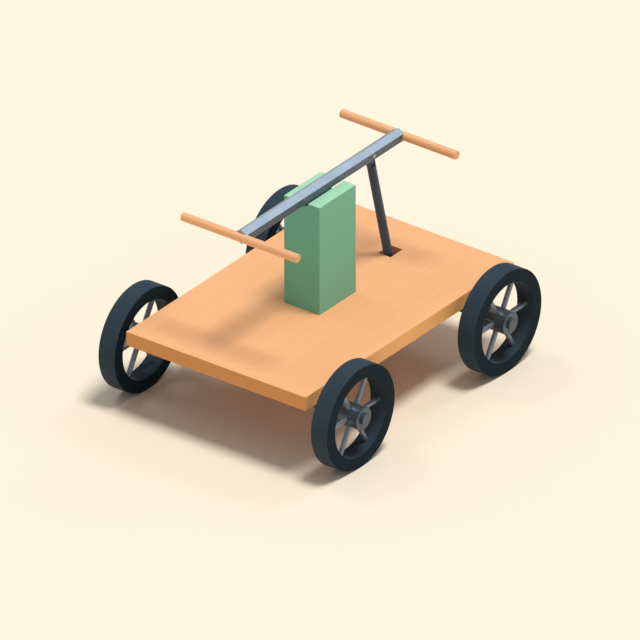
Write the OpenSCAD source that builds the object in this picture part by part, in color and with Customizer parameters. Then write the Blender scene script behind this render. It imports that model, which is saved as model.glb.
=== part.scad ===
// Railway handcar: a plank deck on four spoked wheels, with a green tower that carries a
// walking beam. A connecting rod runs from the beam, through a slot in the deck, to a
// crank in the drive axle.
//
// +X points to the drive end, +Y to the left side and +Z up.
// The origin is at rail level under the middle of the car.

/* [Deck] */
// Length of the deck along the track
deck_length = 1956; // [1880:1:2400]
// Width of the deck across the track
deck_width = 1267; // [1000:1:1360]
// Thickness of the deck
deck_thickness = 88; // [50:1:89]
// Height of the deck's top face above the rails
deck_top = 522; // [521:1:700]
// Chamfer on the edges of the deck and the tower
timber_chamfer = 1; // [1:0.5:6]

/* [Rod slot] */
// Clearance at the deck's top between the rod and the slot's inner end
slot_rod_clearance = 5.6; // [5:0.1:20]
// Length of the slot along the track
slot_length = 113; // [100:1:130]
// Width of the slot across the track
slot_width = 86; // [70:1:120]

/* [Wheels] */
// Radius of the tread
wheel_radius = 320; // [290:1:321]
// Width of the tread
tread_width = 115; // [80:1:150]
// Depth of the rim from the tread to its inner face
rim_depth = 78; // [40:1:110]
// Chamfer on the edges of the rim and the hub
wheel_chamfer = 3; // [1:0.5:6]
// Radius of the hub
hub_radius = 70; // [55:1:100]
// Length of the hub along the axle
hub_length = 159; // [120:1:200]
// Number of spokes in a wheel
spoke_count = 6; // [4:1:12]
// Diameter of a spoke
spoke_diameter = 31; // [14:1:34]
// Distance between the middles of the left and right treads
tread_spacing = 1500; // [1480:1:1700]
// Distance between the two axles
wheelbase = 1378; // [1340:1:1420]

/* [Axles] */
// Diameter of an axle between the wheels
axle_diameter = 72; // [60:1:90]
// Diameter of the axle's end outside the hub
stub_diameter = 68; // [40:1:68]
// Length of the axle's end outside the hub
stub_length = 16; // [8:1:40]

/* [Under-frame] */
// Width of a sill
sill_width = 60; // [40:1:90]
// Height of a sill
sill_height = 60; // [40:1:61]
// Distance between the middles of the two side sills
sill_spacing = 810; // [600:1:900]
// Distance from a deck end to the near face of its end sill
end_sill_setback = 100; // [95:1:110]
// Length along the track of the sill under the tower
tower_sill_length = 160; // [100:1:300]
// Outer radius of a bearing's ring
bearing_radius = 53; // [50:1:54]
// Length along the track of a bearing's foot
bearing_foot_length = 170; // [130:1:200]
// Thickness of a bearing's foot
bearing_foot_thickness = 14; // [8:1:20]

/* [Tower] */
// Length of the tower along the track
tower_length = 341; // [260:1:400]
// Width of the tower across the track
tower_width = 251; // [200:1:320]
// Height of the tower above the deck
tower_height = 692; // [560:1:840]
// Depth of the blind holes that hold the pivot pin
pivot_seat_depth = 45; // [20:1:50]

/* [Walking beam] */
// Length of the beam
beam_length = 1480; // [1300:1:1480]
// Size of the six-sided beam across its corners
beam_across_corners = 89; // [80:1:94]
// Height of the beam's axis above the tower's top
beam_rise = 26; // [16:1:31]
// Drop from the beam's axis to its pivot
pivot_drop = 100; // [95:1:120]
// Diameter of the pivot pin
pivot_pin_diameter = 30; // [20:1:40]
// Radius of the lug around the pivot pin
lug_radius = 38; // [30:1:45]
// Half the length of the lug where it meets the beam
lug_half_length = 60; // [45:1:65]
// Side clearance of the beam in the tower
beam_side_clearance = 5.5; // [5:0.5:12]
// Clearance under the beam and the lug
beam_clearance = 5; // [5:0.5:10]

/* [Handles] */
// Length of a handle
handle_length = 815; // [600:1:1000]
// Diameter of a handle
handle_diameter = 52; // [40:1:60]
// Distance from the middle of the car to a handle's axis
handle_reach = 746; // [740:1:750]
// Chamfer on the ends of a handle
handle_chamfer = 3; // [1:0.5:6]

/* [Connecting rod] */
// Distance from the middle of the car to the wrist pin
wrist_reach = 461; // [455:1:465]
// Diameter of the rod
rod_diameter = 53; // [40:1:54]
// Thickness of the rod's flat tongue
tongue_thickness = 26; // [20:1:30]
// Width of the rod's flat tongue
tongue_width = 52; // [44:1:54]
// Distance from the wrist pin to the rod's round shoulder
shoulder_drop = 81; // [80:1:110]
// Diameter of the wrist pin
wrist_pin_diameter = 24; // [16:1:30]
// Side clearance of the tongue in the beam's mortise
tongue_clearance = 2; // [1:0.5:4]
// Swing of the rod against the beam for each degree of the beam
rod_swing_ratio = 1.16; // [1.14:0.01:1.3]

/* [Crank] */
// Distance from the axle's middle to the crank pin
crank_throw = 78; // [60:1:78]
// Radius of a crank disc
crank_disc_radius = 108; // [104:1:109]
// Thickness of a crank disc
crank_disc_thickness = 26; // [16:1:40]
// Gap between the two crank discs
crank_gap = 65; // [63:1:80]
// Diameter of the crank pin
crank_pin_diameter = 32; // [24:1:40]
// Radius of the rod's eye around the crank pin
crank_eye_radius = 36; // [28:1:38]
// Width of the rod's eye around the crank pin
crank_eye_width = 53; // [40:1:54]

/* [Fits] */
// Radial clearance of a turning pin or axle in its bore
running_clearance = 0.05; // [0.02:0.01:0.1]
// Radial clearance of a piece that is fixed in its bore
seat_clearance = 0.02; // [0.01:0.01:0.04]
// End clearance of a pin that stops short of a face
pin_end_clearance = 0.3; // [0.1:0.1:1]

/* [Hidden] */
$fn = 96;
// Extra length of a cut past the faces that it goes through
past = 10;

deck_bottom = deck_top - deck_thickness;

axle_x = wheelbase / 2;
axle_z = wheel_radius;
axle_radius = axle_diameter / 2;
wheel_y = tread_spacing / 2;
rim_inner_radius = wheel_radius - rim_depth;
hub_outer_y = wheel_y + hub_length / 2;
hub_inner_y = wheel_y - hub_length / 2;
stub_chamfer = wheel_chamfer / 2;

sill_y = sill_spacing / 2;
sill_bottom = deck_bottom - sill_height;
end_sill_x = deck_length / 2 - end_sill_setback - sill_width / 2;
side_sill_length = 2 * (end_sill_x + sill_width / 2);
cross_sill_length = sill_spacing - sill_width;

tower_top = deck_top + tower_height;
beam_height = tower_top + beam_rise;
pivot_z = beam_height - pivot_drop;
beam_radius = beam_across_corners / 2;
beam_across_flats = beam_across_corners * cos(30);
notch_width = beam_across_flats + 2 * beam_side_clearance;
cheek_thickness = (tower_width - notch_width) / 2;
lug_width = beam_across_flats - 1;
lug_rise = pivot_drop - beam_radius / 2;

// The rod lies on the line from the wrist pin to the middle of the drive axle, so the crank
// is at its upper dead centre when the beam is level. At the lower dead centre the two are
// nearer by twice the throw, which gives the swing of the beam.
wrist_arm = norm([wrist_reach, pivot_drop]);
axle_arm = norm([axle_x, pivot_z - axle_z]);
rod_line_level = norm([axle_x - wrist_reach, beam_height - axle_z]);
rod_line_low = rod_line_level - 2 * crank_throw;
function arm_angle(line) = acos((pow(wrist_arm, 2) + pow(axle_arm, 2) - pow(line, 2))
                                / (2 * wrist_arm * axle_arm));
beam_swing = arm_angle(rod_line_level) - arm_angle(rod_line_low);
rod_swing = rod_swing_ratio * beam_swing;
rod_length = rod_line_level - crank_throw;
rod_lean = atan2(axle_x - wrist_reach, beam_height - axle_z);
slot_start = wrist_reach + (beam_height - deck_top) * tan(rod_lean)
             - rod_diameter / 2 / cos(rod_lean) - slot_rod_clearance;
slot_middle = slot_start + slot_length / 2;
crank_pin_x = axle_x - crank_throw * sin(rod_lean);
crank_pin_z = axle_z + crank_throw * cos(rod_lean);
disc_inner_y = crank_gap / 2;
disc_outer_y = disc_inner_y + crank_disc_thickness;

// ---- shared shapes ----

// Rectangle with its four corners cut off
module chamfered_rectangle(length, width, chamfer) {
    x = length / 2;
    y = width / 2;
    polygon([
        [-x + chamfer, -y], [x - chamfer, -y], [x, -y + chamfer], [x, y - chamfer],
        [x - chamfer, y], [-x + chamfer, y], [-x, y - chamfer], [-x, -y + chamfer]
    ]);
}

// Block on the XY plane, centred in X and Y, with all twelve edges chamfered
module chamfered_block(length, width, height, chamfer) {
    intersection() {
        linear_extrude(height) chamfered_rectangle(length, width, chamfer);
        translate([0, 0, height / 2]) rotate([90, 0, 0])
            linear_extrude(width, center = true) chamfered_rectangle(length, height, chamfer);
        translate([0, 0, height / 2]) rotate([0, 90, 0])
            linear_extrude(length, center = true) chamfered_rectangle(height, width, chamfer);
    }
}

// Solid round bar along Y, centred on the origin
module bar_y(radius, length) {
    rotate([90, 0, 0]) cylinder(r = radius, h = length, center = true);
}

// Round bar along Y with chamfered ends
module chamfered_bar_y(radius, length, chamfer) {
    rotate([90, 0, 0]) translate([0, 0, -length / 2]) rotate_extrude()
        polygon([
            [0, 0], [radius - chamfer, 0], [radius, chamfer],
            [radius, length - chamfer], [radius - chamfer, length], [0, length]
        ]);
}

// Ring along Y with chamfered outer edges and a square-edged bore
module chamfered_ring_y(outer, inner, length, chamfer) {
    rotate([90, 0, 0]) translate([0, 0, -length / 2]) rotate_extrude()
        polygon([
            [inner, 0], [outer - chamfer, 0], [outer, chamfer],
            [outer, length - chamfer], [outer - chamfer, length], [inner, length]
        ]);
}

// ---- chassis ----

module deck() {
    color("#F4B37B") difference() {
        translate([0, 0, deck_bottom])
            chamfered_block(deck_length, deck_width, deck_thickness, timber_chamfer);
        translate([slot_middle, 0, deck_bottom + deck_thickness / 2])
            cube([slot_length, slot_width, deck_thickness + past], center = true);
    }
}

module side_sill(side) {
    color("#B9824A") translate([0, side * sill_y, sill_bottom + sill_height / 2])
        cube([side_sill_length, sill_width, sill_height], center = true);
}

module cross_sill(middle_x, length) {
    color("#B9824A") translate([middle_x, 0, sill_bottom + sill_height / 2])
        cube([length, cross_sill_length, sill_height], center = true);
}

// Plummer block: a foot against the sill, a neck and a ring around the axle
module bearing(end, side) {
    neck_height = sill_bottom - axle_z;
    color("#39444C") translate([end * axle_x, side * sill_y, axle_z]) difference() {
        union() {
            bar_y(bearing_radius, sill_width);
            translate([0, 0, neck_height / 2])
                cube([2 * bearing_radius, sill_width, neck_height], center = true);
            translate([0, 0, neck_height - bearing_foot_thickness / 2])
                cube([bearing_foot_length, sill_width, bearing_foot_thickness], center = true);
        }
        bar_y(axle_radius + running_clearance, sill_width + past);
    }
}

// The whole tower as one block, chamfered on its upright and top edges
module tower_block() {
    intersection() {
        translate([0, 0, deck_top - timber_chamfer]) chamfered_block(
            tower_length, tower_width, tower_height + timber_chamfer, timber_chamfer);
        translate([-tower_length / 2 - past, -tower_width / 2 - past, deck_top])
            cube([tower_length + 2 * past, tower_width + 2 * past, tower_height + past]);
    }
}

// Outer part of the tower, with the blind hole that holds one end of the pivot pin
module tower_cheek(side) {
    hole_middle_y = (notch_width + pivot_seat_depth - past) / 2;
    color("#8FC79F") difference() {
        intersection() {
            tower_block();
            translate([0, side * (notch_width + cheek_thickness + past) / 2,
                       deck_top + tower_height / 2])
                cube([tower_length + past, cheek_thickness + past, tower_height + past],
                     center = true);
        }
        translate([0, side * hole_middle_y, pivot_z])
            bar_y(pivot_pin_diameter / 2 + seat_clearance, pivot_seat_depth + past);
    }
}

// Middle part of the tower. Its top leaves room for the beam when level and when fully
// down at the drive end, and for the lug.
module tower_core() {
    half = tower_length / 2;
    level_floor = pivot_drop - beam_radius - beam_clearance;
    function low_floor(x) = (level_floor - x * sin(beam_swing)) / cos(beam_swing);
    pocket_floor = -lug_radius - beam_clearance;
    pocket_back = -lug_half_length - beam_clearance;
    pocket_front = lug_half_length * cos(beam_swing) + lug_rise * sin(beam_swing)
                   + beam_clearance;
    color("#8FC79F") intersection() {
        tower_block();
        translate([0, 0, pivot_z]) rotate([90, 0, 0])
            linear_extrude(notch_width, center = true) polygon([
                [-half, deck_top - pivot_z], [half, deck_top - pivot_z],
                [half, low_floor(half)], [pocket_front, low_floor(pocket_front)],
                [pocket_front, pocket_floor], [pocket_back, pocket_floor],
                [pocket_back, level_floor], [-half, level_floor]
            ]);
    }
}

module beam_pivot_pin() {
    length = notch_width + 2 * (pivot_seat_depth - pin_end_clearance);
    color("#8A939B") translate([0, 0, pivot_z]) bar_y(pivot_pin_diameter / 2, length);
}

// ---- walking beam ----

// Six-sided bar along X with a corner at the top and the bottom
module beam_bar(length) {
    rotate([0, 90, 0]) cylinder(r = beam_radius, h = length, center = true, $fn = 6);
}

module walking_beam() {
    mortise_width = tongue_thickness + 2 * tongue_clearance;
    lowest_lean = rod_lean + rod_swing;
    mortise_back = -tongue_width / 2 - beam_clearance;
    mortise_front = beam_radius * tan(lowest_lean) + tongue_width / 2 / cos(lowest_lean)
                    + beam_clearance;
    mortise_top = tongue_width / 2 + tongue_clearance;
    color("#A9B9C6") translate([0, 0, beam_height]) difference() {
        beam_bar(beam_length);
        translate([wrist_reach + mortise_back, -mortise_width / 2, -beam_radius - past])
            cube([mortise_front - mortise_back, mortise_width,
                  mortise_top + beam_radius + past]);
        translate([wrist_reach, 0, 0])
            bar_y(wrist_pin_diameter / 2 + seat_clearance, beam_across_corners + past);
        for (end = [-1, 1])
            translate([end * handle_reach, 0, 0])
                bar_y(handle_diameter / 2 + seat_clearance, beam_across_corners + past);
    }
}

// Lug under the beam that turns on the pivot pin
module beam_pivot_lug() {
    color("#A9B9C6") translate([0, 0, pivot_z]) difference() {
        union() {
            bar_y(lug_radius, lug_width);
            rotate([90, 0, 0]) linear_extrude(lug_width, center = true) polygon([
                [-lug_radius, 0], [lug_radius, 0],
                [lug_half_length, lug_rise], [-lug_half_length, lug_rise]
            ]);
        }
        bar_y(pivot_pin_diameter / 2 + running_clearance, lug_width + past);
        translate([0, 0, pivot_drop]) beam_bar(2 * lug_half_length + past);
    }
}

module wrist_pin() {
    length = beam_across_flats - 2 * pin_end_clearance;
    color("#8A939B") translate([wrist_reach, 0, beam_height])
        bar_y(wrist_pin_diameter / 2, length);
}

module handle(end) {
    color("#F0AF78") translate([end * handle_reach, 0, beam_height])
        chamfered_bar_y(handle_diameter / 2, handle_length, handle_chamfer);
}

// ---- connecting rod ----

module connecting_rod() {
    color("#42505A") translate([wrist_reach, 0, beam_height]) rotate([0, -rod_lean, 0])
        difference() {
            union() {
                bar_y(tongue_width / 2, tongue_thickness);
                translate([-tongue_width / 2, -tongue_thickness / 2, -shoulder_drop])
                    cube([tongue_width, tongue_thickness, shoulder_drop]);
                translate([0, 0, -rod_length])
                    cylinder(d = rod_diameter, h = rod_length - shoulder_drop);
                translate([0, 0, -rod_length]) bar_y(crank_eye_radius, crank_eye_width);
            }
            bar_y(wrist_pin_diameter / 2 + running_clearance, tongue_thickness + past);
            translate([0, 0, -rod_length])
                bar_y(crank_pin_diameter / 2 + seat_clearance, crank_eye_width + past);
        }
}

module crank_pin() {
    color("#8A939B") translate([crank_pin_x, 0, crank_pin_z])
        bar_y(crank_pin_diameter / 2, crank_gap - 2 * pin_end_clearance);
}

// ---- wheelsets ----

// Axle from one Y to another, with a reduced, chamfered stub outside each hub that it passes
module axle_between(start_y, end_y) {
    stub = stub_diameter / 2;
    outer = hub_outer_y + stub_length;
    left_end = min(end_y, hub_outer_y);
    right_end = max(start_y, -hub_outer_y);
    rotate([-90, 0, 0]) rotate_extrude() polygon(concat(
        [[0, start_y]],
        start_y < -hub_outer_y
            ? [[stub - stub_chamfer, start_y], [stub, start_y + stub_chamfer],
               [stub, right_end], [axle_radius, right_end]]
            : [[axle_radius, start_y]],
        end_y > hub_outer_y
            ? [[axle_radius, left_end], [stub, left_end],
               [stub, outer - stub_chamfer], [stub - stub_chamfer, outer]]
            : [[axle_radius, end_y]],
        [[0, end_y]]
    ));
}

module drive_axle(side) {
    outer = hub_outer_y + stub_length;
    color("#5A656E") translate([axle_x, 0, axle_z])
        if (side > 0) axle_between(disc_inner_y, outer);
        else axle_between(-outer, -disc_inner_y);
}

module trailing_axle() {
    outer = hub_outer_y + stub_length;
    color("#5A656E") translate([-axle_x, 0, axle_z]) axle_between(-outer, outer);
}

module crank_disc(side) {
    color("#39444C")
        translate([axle_x, side * (disc_inner_y + disc_outer_y) / 2, axle_z])
            chamfered_ring_y(crank_disc_radius, axle_radius + seat_clearance,
                             crank_disc_thickness, wheel_chamfer);
}

module wheel_rim(end, side) {
    color("#232E36") translate([end * axle_x, side * wheel_y, axle_z])
        chamfered_ring_y(wheel_radius, rim_inner_radius, tread_width, wheel_chamfer);
}

module wheel_hub(end, side) {
    color("#4D565E") translate([end * axle_x, side * wheel_y, axle_z])
        chamfered_ring_y(hub_radius, axle_radius + seat_clearance, hub_length, wheel_chamfer);
}

// Spokes from the hub's face to the rim's inner face, first one level, towards the drive end
module wheel_spokes(end, side) {
    color("#87939C") translate([end * axle_x, side * wheel_y, axle_z]) intersection() {
        chamfered_ring_y(rim_inner_radius, hub_radius, tread_width, wheel_chamfer);
        for (i = [0 : spoke_count - 1])
            rotate([0, i * 360 / spoke_count, 0]) rotate([0, 90, 0])
                cylinder(d = spoke_diameter, h = rim_inner_radius + past);
    }
}

deck();
side_sill(1);  // side_sill_left
side_sill(-1);  // side_sill_right
cross_sill(end_sill_x, sill_width);  // cross_sill_drive_end
cross_sill(0, tower_sill_length);  // cross_sill_tower
cross_sill(-end_sill_x, sill_width);  // cross_sill_trailing_end
bearing(1, 1);  // bearing_drive_left
bearing(1, -1);  // bearing_drive_right
bearing(-1, 1);  // bearing_trailing_left
bearing(-1, -1);  // bearing_trailing_right
tower_cheek(1);  // tower_cheek_left
tower_cheek(-1);  // tower_cheek_right
tower_core();
beam_pivot_pin();
walking_beam();
beam_pivot_lug();
wrist_pin();
handle(1);  // handle_drive_end
handle(-1);  // handle_trailing_end
connecting_rod();
crank_pin();
drive_axle(1);  // drive_axle_left
drive_axle(-1);  // drive_axle_right
crank_disc(1);  // crank_disc_left
crank_disc(-1);  // crank_disc_right
wheel_rim(1, 1);  // drive_rim_left
wheel_rim(1, -1);  // drive_rim_right
wheel_hub(1, 1);  // drive_hub_left
wheel_hub(1, -1);  // drive_hub_right
wheel_spokes(1, 1);  // drive_spokes_left
wheel_spokes(1, -1);  // drive_spokes_right
trailing_axle();
wheel_rim(-1, 1);  // trailing_rim_left
wheel_rim(-1, -1);  // trailing_rim_right
wheel_hub(-1, 1);  // trailing_hub_left
wheel_hub(-1, -1);  // trailing_hub_right
wheel_spokes(-1, 1);  // trailing_spokes_left
wheel_spokes(-1, -1);  // trailing_spokes_right
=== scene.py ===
import bpy
import numpy as np
from mathutils import Matrix, Vector


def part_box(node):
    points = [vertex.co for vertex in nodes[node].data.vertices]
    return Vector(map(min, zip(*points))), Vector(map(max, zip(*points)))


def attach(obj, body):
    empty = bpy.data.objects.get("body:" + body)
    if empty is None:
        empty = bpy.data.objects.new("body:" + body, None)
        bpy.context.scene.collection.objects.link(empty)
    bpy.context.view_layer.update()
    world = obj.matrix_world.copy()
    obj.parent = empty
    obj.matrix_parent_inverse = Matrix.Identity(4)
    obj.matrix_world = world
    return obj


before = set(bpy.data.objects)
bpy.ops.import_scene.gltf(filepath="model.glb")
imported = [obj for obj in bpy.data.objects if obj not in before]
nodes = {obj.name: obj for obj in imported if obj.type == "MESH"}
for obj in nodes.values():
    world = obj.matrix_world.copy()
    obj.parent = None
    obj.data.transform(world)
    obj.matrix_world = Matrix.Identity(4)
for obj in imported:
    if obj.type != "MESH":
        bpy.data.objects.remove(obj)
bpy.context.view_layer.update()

# ---- Camera ----
# A camera with parallel rays, as for a catalogue drawing, looks down on the car from its
# right, trailing side.
METRES_ACROSS = 3.612
LOOK_HEIGHT = 0.3726
CAMERA_DISTANCE = 12.0
CAMERA_REACH = 60.0
CAMERA_RIGHT = Vector((0.6010, -0.7990, 0.0)).normalized()
CAMERA_BACK = Vector((-0.6971, -0.5244, 0.4887)).normalized()

camera_data = bpy.data.cameras.new("catalogue_camera")
camera_data.type = "ORTHO"
camera_data.ortho_scale = METRES_ACROSS
camera_data.clip_end = CAMERA_REACH
camera = bpy.data.objects.new("catalogue_camera", camera_data)
bpy.context.scene.collection.objects.link(camera)
camera_up = CAMERA_BACK.cross(CAMERA_RIGHT).normalized()
turn = Matrix((CAMERA_RIGHT, camera_up, CAMERA_BACK)).transposed()
aim = Vector((0.0, 0.0, LOOK_HEIGHT))
camera.matrix_world = Matrix.Translation(aim + CAMERA_DISTANCE * CAMERA_BACK) @ turn.to_4x4()
bpy.context.scene.camera = camera
bpy.context.scene.view_settings.view_transform = "Standard"

# ---- Light ----
# One broad key light hangs nearly overhead, a little to the right of the car. Two softer ones
# light the steel: one beyond the drive end for the beam, and one on the left for what is
# round. A dim white room fills the shade.


def linear(hex_colour):
    """An sRGB hex colour such as "F4B37B" as linear red, green and blue, with alpha 1."""
    channels = np.array([int(hex_colour[i : i + 2], 16) for i in (0, 2, 4)]) / 255.0
    curve = ((channels + 0.055) / 1.055) ** 2.4
    return (*np.where(channels <= 0.04045, channels / 12.92, curve), 1.0)


def lamp(name, direction, strength, disc_degrees, colour):
    """A far lamp that shines from a direction, with the width of its disc in degrees."""
    data = bpy.data.lights.new(name, "SUN")
    data.energy = strength
    data.angle = np.radians(disc_degrees)
    data.color = linear(colour)[:3]
    piece = bpy.data.objects.new(name, data)
    piece.rotation_euler = Vector(direction).to_track_quat("Z", "Y").to_euler()
    bpy.context.scene.collection.objects.link(piece)


lamp("key_lamp", (0.06, -0.22, 0.97), 2.10, 16.0, "FFFFFF")
lamp("beam_lamp", (0.70, -0.16, 0.70), 0.30, 14.0, "F4F8FF")
lamp("round_lamp", (0.02, 0.52, 0.85), 0.26, 15.0, "F4F8FF")

room = bpy.data.worlds.new("studio_room")
bpy.context.scene.world = room
room.use_nodes = True
backdrop = room.node_tree.nodes["Background"]
backdrop.inputs["Color"].default_value = linear("F6F8FF")
backdrop.inputs["Strength"].default_value = 0.42

# ---- Floor ----
# One wide sheet of cream studio paper, matt and unrolled flat under the car, so the car
# stands in its own soft shadow.


def add(tree, kind, settings=None, **links):
    """Adds a shader node, sets its properties and its sockets by name or number, and links
    the sockets named in links. A number is written i0, i1, and a space as an underscore."""
    node = tree.nodes.new("ShaderNode" + kind)
    for key, value in (settings or {}).items():
        if isinstance(key, str) and hasattr(node, key):
            setattr(node, key, value)
        else:
            node.inputs[key].default_value = value
    for key, socket in links.items():
        numbered = key[0] == "i" and key[1:].isdigit()
        target = node.inputs[int(key[1:])] if numbered else node.inputs[key.replace("_", " ")]
        tree.links.new(socket, target)
    return node


def finish(name, **settings):
    """A new material with its plain numbers set on the shader's own sockets. Gives back the
    material, its tree, its shader and its Object coordinates."""
    made = bpy.data.materials.new(name)
    made.use_nodes = True
    shader = made.node_tree.nodes["Principled BSDF"]
    for key, value in settings.items():
        shader.inputs[key.replace("_", " ")].default_value = value
    place = add(made.node_tree, "TexCoord").outputs["Object"]
    return made, made.node_tree, shader, place


def blend_tones(tree, amount, first, second):
    """Goes from the first tone to the second as the amount goes from 0 to 1. A tone is a hex
    colour or a colour socket."""
    mixer = add(tree, "Mix", {"data_type": "RGBA"})
    tree.links.new(amount, mixer.inputs[0])
    for index, tone in ((6, first), (7, second)):
        if isinstance(tone, str):
            mixer.inputs[index].default_value = linear(tone)
        else:
            tree.links.new(tone, mixer.inputs[index])
    return mixer.outputs[2]


def noise(tree, place, stretch, detail=3.0):
    """Cloudy noise whose grains are 1 / stretch metres long on each axis, as 0 to 1."""
    scaled = add(tree, "Mapping", {"Scale": stretch}, Vector=place).outputs[0]
    return add(tree, "TexNoise", {"Scale": 1.0, "Detail": detail}, Vector=scaled).outputs[0]


def spread(tree, value, low, high, new_low=0.0, new_high=1.0):
    """Maps low to high onto new_low to new_high, and holds the ends."""
    limits = {"From Min": low, "From Max": high, "To Min": new_low, "To Max": new_high}
    return add(tree, "MapRange", limits, Value=value).outputs[0]


FLOOR_REACH = 14.0
floor_mesh = bpy.data.meshes.new("studio_floor")
floor_corners = FLOOR_REACH * np.array([[-1, -1, 0], [1, -1, 0], [1, 1, 0], [-1, 1, 0]])
floor_mesh.from_pydata(floor_corners.tolist(), [], [(0, 1, 2, 3)])
floor = bpy.data.objects.new("studio_floor", floor_mesh)
bpy.context.scene.collection.objects.link(floor)
# Uncoated paper: no shine, and fibres about 2 mm long that only just break its colour.
paper, tree, shader, place = finish("uncoated_cream_paper", Roughness=0.95)
shader.inputs["Specular IOR Level"].default_value = 0.1
fibres = spread(tree, noise(tree, place, (500.0, 500.0, 500.0)), 0.3, 0.7)
tree.links.new(blend_tones(tree, fibres, "F4E6CD", "F5E7CF"), shader.inputs["Base Color"])
floor_mesh.materials.append(paper)

# ---- Deck ----
# A thick floor of softwood boards glued edge to edge, sanded and sealed with a warm stain.
# The grain runs along the track. The sawn ends and edges are darker, partly from the stain
# they take up and partly as painted shade.


def dress(node_names, material):
    """Puts one material on every material slot of a list of CAD nodes."""
    for node_name in node_names:
        slots = nodes[node_name].data.materials
        if len(slots) == 0:
            slots.append(material)
        for index in range(len(slots)):
            slots[index] = material


def relief(tree, shader, height, strength, depth):
    """Raises the surface by up to a depth in metres, where the height is high."""
    bump = add(tree, "Bump", {"Strength": strength, "Distance": depth}, Height=height)
    tree.links.new(bump.outputs[0], shader.inputs["Normal"])


FACE_DEPTH = 0.0005


def on_faces(tree, place, axis, distance):
    """1 on the two faces that lie at plus and minus a distance from the middle, 0 elsewhere."""
    part = add(tree, "SeparateXYZ", Vector=place).outputs[axis]
    size = add(tree, "Math", {"operation": "ABSOLUTE"}, i0=part).outputs[0]
    limit = {"operation": "GREATER_THAN", 1: distance - FACE_DEPTH}
    return add(tree, "Math", limit, i0=size).outputs[0]


ALONG_GRAIN = 30.0
PORES_PER_METRE = 450.0


def timber(name, light, dark, grain_axis, ring_spacing, roughness, faces=()):
    """Wood. Growth rings a spacing apart in metres are stretched thirty times along the grain
    and bent a little, with pores 2 mm wide over them. Faces are extra tones for flat faces,
    each as axis, distance and colour, used both for stain taken up by cut faces and for painted
    shade."""
    made, tree, shader, place = finish(name, Roughness=roughness)
    rings = [1.0 / ring_spacing] * 3
    rings[grain_axis] /= ALONG_GRAIN
    wander = add(tree, "TexNoise", {"Scale": 1.3, "Detail": 2.0}, Vector=place).outputs["Color"]
    stretched = add(tree, "Mapping", {"Scale": rings}, Vector=place).outputs[0]
    add_wander = {"operation": "MULTIPLY_ADD", 1: (1.5, 1.5, 1.5)}
    bent = add(tree, "VectorMath", add_wander, i0=wander, i2=stretched).outputs[0]
    streaks = add(tree, "TexNoise", {"Scale": 1.0, "Detail": 5.0}, Vector=bent).outputs[0]
    pores = [PORES_PER_METRE] * 3
    pores[grain_axis] /= ALONG_GRAIN
    fine = noise(tree, place, pores, 2.0)
    both = add(tree, "Math", {"operation": "MULTIPLY_ADD", 1: 0.3}, i0=fine, i2=streaks)
    tone = blend_tones(tree, spread(tree, both.outputs[0], 0.42, 0.88), light, dark)
    for axis, distance, colour in faces:
        tone = blend_tones(tree, on_faces(tree, place, axis, distance), tone, colour)
    tree.links.new(tone, shader.inputs["Base Color"])
    relief(tree, shader, both.outputs[0], 0.10, 0.0005)
    return made


deck_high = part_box("deck")[1]
# The deck's ends and long sides get darker tones: partly stain taken up by the cut faces, partly
# painted shade.
deck_stain_and_shade_faces = ((1, deck_high.y, "F2AF68"), (0, deck_high.x, "DB9249"))
# Sealed pine: soft streaks 40 mm apart, hardly darker than the wood between, and a satin face.
dress(["deck"], timber("stained_pine", "F3B37C", "F0AE75", 0, 0.040, 0.55, deck_stain_and_shade_faces))

# ---- Sills ----
# The under-frame of sawn oak, two long sills with three cross sills between them, bolted up
# to the deck and oiled. They carry the bearings.
# Sawn oak: open grain 25 mm apart, darker than the deck and with no shine.
long_sills = timber("oiled_oak_along", "B9824A", "94602E", 0, 0.025, 0.8)
cross_sills = timber("oiled_oak_across", "B9824A", "94602E", 1, 0.025, 0.8)
dress(["side_sill_left", "side_sill_right"], long_sills)
dress(["cross_sill_drive_end", "cross_sill_tower", "cross_sill_trailing_end"], cross_sills)

# ---- Tower ----
# Two outer posts and a core, all of sawn timber, stand on the deck and hold the pivot of the
# beam between them. They are filled, sanded and brushed with two coats of green enamel.


def enamel(name, light, dark, brush_axis, roughness, sheen, faces=()):
    """Brushed paint. Bristle lines 3 mm apart run along the brush axis, and the coat is a
    little thicker in soft patches 300 mm wide. Faces are as in timber."""
    made, tree, shader, place = finish(name, Roughness=roughness)
    shader.inputs["Specular IOR Level"].default_value = sheen
    bristles = [330.0] * 3
    bristles[brush_axis] /= 60.0
    lines = noise(tree, place, bristles)
    patches = noise(tree, place, (3.3, 3.3, 3.3))
    tone = blend_tones(tree, spread(tree, patches, 0.35, 0.65), light, dark)
    for axis, distance, colour in faces:
        tone = blend_tones(tree, on_faces(tree, place, axis, distance), tone, colour)
    tree.links.new(tone, shader.inputs["Base Color"])
    relief(tree, shader, lines, 0.10, 0.0004)
    return made


tower_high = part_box("tower_core")[1]
tower_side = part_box("tower_cheek_left")[1].y
# The tower's sides and ends get darker greens: painted shade.
tower_shaded_faces = ((1, tower_side, "7ABFA0"), (0, tower_high.x, "6FBB9E"))
# Green enamel: even and satin, with fine upright brush lines. The sides and ends get darker greens
# as painted shade.
dress(["tower_cheek_left", "tower_cheek_right", "tower_core"],
      enamel("green_enamel", "A6DCB4", "A1D8B0", 2, 0.5, 0.3, tower_shaded_faces))

# ---- Walking beam ----
# A six-sided steel bar that rocks on a pin in the tower. It is rolled to shape and ground
# along its length. Its pins are ground round and smooth.


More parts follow.
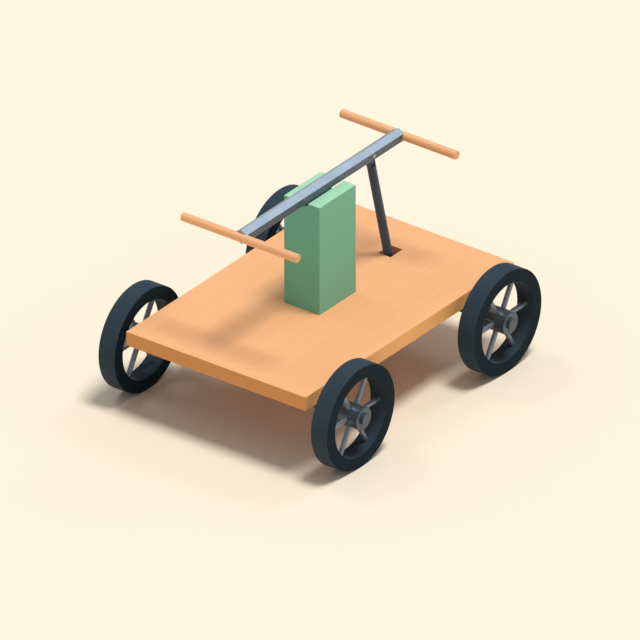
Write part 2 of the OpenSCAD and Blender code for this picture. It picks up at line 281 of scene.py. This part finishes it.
def ground_steel(name, colour, shade, line_axis, line_spacing, roughness, metal=1.0, faces=()):
    """Ground metal. Grinding lines a spacing apart in metres run along an axis, and they
    change the roughness and the height. Stains 140 mm wide turn the colour to the shade.
    Faces are as in timber."""
    made, tree, shader, place = finish(name, Metallic=metal)
    scratches = [1.0 / line_spacing] * 3
    scratches[line_axis] /= 80.0
    lines = noise(tree, place, scratches, 4.0)
    dull = spread(tree, lines, 0.0, 1.0, roughness - 0.06, roughness + 0.08)
    tree.links.new(dull, shader.inputs["Roughness"])
    stains = spread(tree, noise(tree, place, (7.0, 7.0, 7.0)), 0.40, 0.70)
    tone = blend_tones(tree, stains, colour, shade)
    # Each face gets a flat colour of its own; on the beam's upright sides this is painted shade.
    for axis, distance, shaded_face_colour in faces:
        tone = blend_tones(tree, on_faces(tree, place, axis, distance), tone, shaded_face_colour)
    tree.links.new(tone, shader.inputs["Base Color"])
    relief(tree, shader, lines, 0.08, 0.0002)
    return made


beam_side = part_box("walking_beam")[1].y
# Ground mild steel: a soft bright band on the faces that look up. The upright sides are
# painted dark grey as painted shade.
dress(["walking_beam", "beam_pivot_lug"],
      ground_steel("ground_mild_steel", "94A5B3", "8A9BA9", 0, 0.0011, 0.38, 0.35,
                   ((1, beam_side, "56636F"),)))
# Ground pin steel: brighter and smoother, with lines round the pin.
dress(["beam_pivot_pin", "wrist_pin", "crank_pin"],
      ground_steel("ground_pin_steel", "A2A9B0", "98A0A8", 1, 0.0007, 0.28))

# ---- Handles ----
# Two turned ash bars, let half into the ends of the beam and varnished, so that four people
# can pump. The grain runs along the bar.
handle_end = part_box("handle_drive_end")[1].y
# Varnished ash: fine grain 12 mm apart, slightly glossy, and paler on the sawn ends.
dress(["handle_drive_end", "handle_trailing_end"],
      timber("varnished_ash", "F6B884", "EFAC74", 1, 0.012, 0.42, ((1, handle_end, "EDAE6C"),)))

# ---- Connecting rod ----
# A forged round bar with a flat tongue at its top and an eye at its foot, brushed with dark
# blue-grey paint against rust.
# Oil paint on forged steel: dark, satin, with brush lines along the rod.
dress(["connecting_rod"], enamel("blue_grey_oil_paint", "42576A", "3C5062", 2, 0.45, 0.2))

# ---- Wheels and axles ----
# Cast rims under thick dark paint, bare oiled cast hubs, six drawn steel spokes cast into
# both, and a turned axle pressed through the hubs.


def casting(name, colour, shade, roughness, sheen, metal=0.0, shaded_cheeks=None):
    """A casting, bare or painted. Sand grains 4 mm wide stand out, and patches 200 mm wide
    change its roughness and turn the colour to the shade. Shaded cheeks are the inner and outer
    distance of a wheel's two flat faces from the middle of the car, and their colour: dark paint
    that is partly painted shade."""
    made, tree, shader, place = finish(name, Metallic=metal)
    shader.inputs["Specular IOR Level"].default_value = sheen
    sand = noise(tree, place, (250.0, 250.0, 250.0), 4.0)
    patches = noise(tree, place, (5.0, 5.0, 5.0))
    dull = spread(tree, patches, 0.0, 1.0, roughness - 0.08, roughness + 0.10)
    tree.links.new(dull, shader.inputs["Roughness"])
    tone = blend_tones(tree, spread(tree, patches, 0.30, 0.70), colour, shade)
    if shaded_cheeks:
        # The two flat faces take the cheek colour: dark paint, partly painted shade.
        inner, outer, cheek_paint_and_shade = shaded_cheeks
        past_inner = on_faces(tree, place, 1, inner + 2 * FACE_DEPTH)
        tone = blend_tones(tree, past_inner, cheek_paint_and_shade, tone)
        tone = blend_tones(tree, on_faces(tree, place, 1, outer), tone, cheek_paint_and_shade)
    tree.links.new(tone, shader.inputs["Base Color"])
    relief(tree, shader, sand, 0.15, 0.0005)
    return made


WHEELS = [(end, side) for end in ("drive", "trailing") for side in ("left", "right")]
rim_low, rim_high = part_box("drive_rim_left")
# Blue-black paint on cast iron: very dark on the flat faces, partly as painted shade. The tread
# is rubbed paler by the rail, and glows dully where it faces up.
dress([f"{end}_rim_{side}" for end, side in WHEELS],
      casting("blue_black_cast_iron", "36444E", "313F48", 0.55, 0.05,
              shaded_cheeks=(rim_low.y, rim_high.y, "13242D")))
# Bare oiled casting: dark grey, with a soft shine where it faces up.
dress([f"{end}_hub_{side}" for end, side in WHEELS],
      casting("oiled_hub_casting", "55616B", "4D5963", 0.28, 0.5, 0.6))
# Drawn spoke steel: mid grey, with lines across the wheel too fine to part at this distance.
dress([f"{end}_spokes_{side}" for end, side in WHEELS],
      ground_steel("drawn_spoke_steel", "8794A1", "7D8A97", 1, 0.0008, 0.34, 0.6))
# Turned axle steel: the same dark grey as the hub that it fills.
dress(["drive_axle_left", "drive_axle_right", "trailing_axle"],
      ground_steel("turned_axle_steel", "4F5B65", "47535D", 1, 0.0008, 0.32, 0.5))

# ---- Bearings and crank ----
# Cast plummer blocks on the sills and two cast crank discs on the drive axle, all left with
# their skin from the sand and painted dark.
# Painted bearing iron: dull and rough from the sand.
dress([f"bearing_{end}_{side}" for end, side in WHEELS] + ["crank_disc_left", "crank_disc_right"],
      casting("painted_bearing_iron", "39444C", "303A42", 0.60, 0.4))

# ---- Bearing bolts ----
# Two forged hexagon bolts hold each bearing up to its sill, through the ends of its foot.
# Each head has a chamfered crown, and a round washer lies under it.
HEAD_FLATS = 0.019
HEAD_HEIGHT = 0.010
HEAD_CROWN = 0.0012
WASHER_RADIUS = 0.014
WASHER_THICKNESS = 0.002
BOLT_INSET = 0.016
FOOT_THICKNESS = 0.014
AROUND = 48


def bolt_surface(x, y, seat):
    """Points of a bolt head and washer that hang from a seat, as rings about the bolt's axis.
    The radius is constant round the washer. Round the head it is half the flats divided by
    the cosine of the angle from the middle of the nearest flat. The crown closes at a point."""
    angle = np.arange(AROUND) * 2 * np.pi / AROUND
    from_flat = np.mod(angle, np.pi / 3) - np.pi / 6
    hexagon = HEAD_FLATS / 2 / np.cos(from_flat)
    crown = np.minimum(hexagon, HEAD_FLATS / 2 - HEAD_CROWN)
    disc = np.full(AROUND, WASHER_RADIUS)
    foot = WASHER_THICKNESS + HEAD_HEIGHT
    radii = np.array([0 * disc, disc, disc, hexagon, hexagon, crown, 0 * disc])
    drops = np.array([0.0, 0.0, WASHER_THICKNESS, WASHER_THICKNESS, foot - HEAD_CROWN, foot, foot])
    rings = np.stack([x + radii * np.cos(angle), y + radii * np.sin(angle),
                      seat - np.repeat(drops[:, None], AROUND, axis=1)], axis=-1)
    inner = rings[1:-1].reshape(-1, 3)
    return np.vstack([inner, rings[0, :1], rings[-1, :1]])


def bolt_faces(first, ring_count):
    """Quads between neighbouring rings, and fans of triangles to the two poles, all turned
    outwards. First is the number of the bolt's first point."""
    near = np.arange(AROUND)
    far = (near + 1) % AROUND
    quads = []
    for ring in range(ring_count - 1):
        low, high = first + ring * AROUND, first + (ring + 1) * AROUND
        quads += np.stack([low + near, high + near, high + far, low + far], axis=1).tolist()
    top = first + ring_count * AROUND
    last = first + (ring_count - 1) * AROUND
    caps = np.stack([np.full(AROUND, top), first + near, first + far], axis=1).tolist()
    caps += np.stack([np.full(AROUND, top + 1), last + far, last + near], axis=1).tolist()
    return quads + caps


# Zinc-plated bolt steel: pale grey and satin, with faint turning lines.
bolt_steel = ground_steel("zinc_plated_steel", "9AA2A8", "8E969C", 2, 0.0010, 0.38)
for end, side in WHEELS:
    low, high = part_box(f"bearing_{end}_{side}")
    seat = high.z - FOOT_THICKNESS
    middle_y = (low.y + high.y) / 2
    points = np.empty((0, 3))
    faces = []
    for bolt_x in (low.x + BOLT_INSET, high.x - BOLT_INSET):
        shape = bolt_surface(bolt_x, middle_y, seat)
        faces += bolt_faces(len(points), (len(shape) - 2) // AROUND)
        points = np.vstack([points, shape])
    bolts_mesh = bpy.data.meshes.new(f"bearing_bolts_{end}_{side}")
    bolts_mesh.from_pydata(points.tolist(), [], faces)
    bolts_mesh.materials.append(bolt_steel)
    bolts = bpy.data.objects.new(f"bearing_bolts_{end}_{side}", bolts_mesh)
    bpy.context.scene.collection.objects.link(bolts)
    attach(bolts, "chassis")
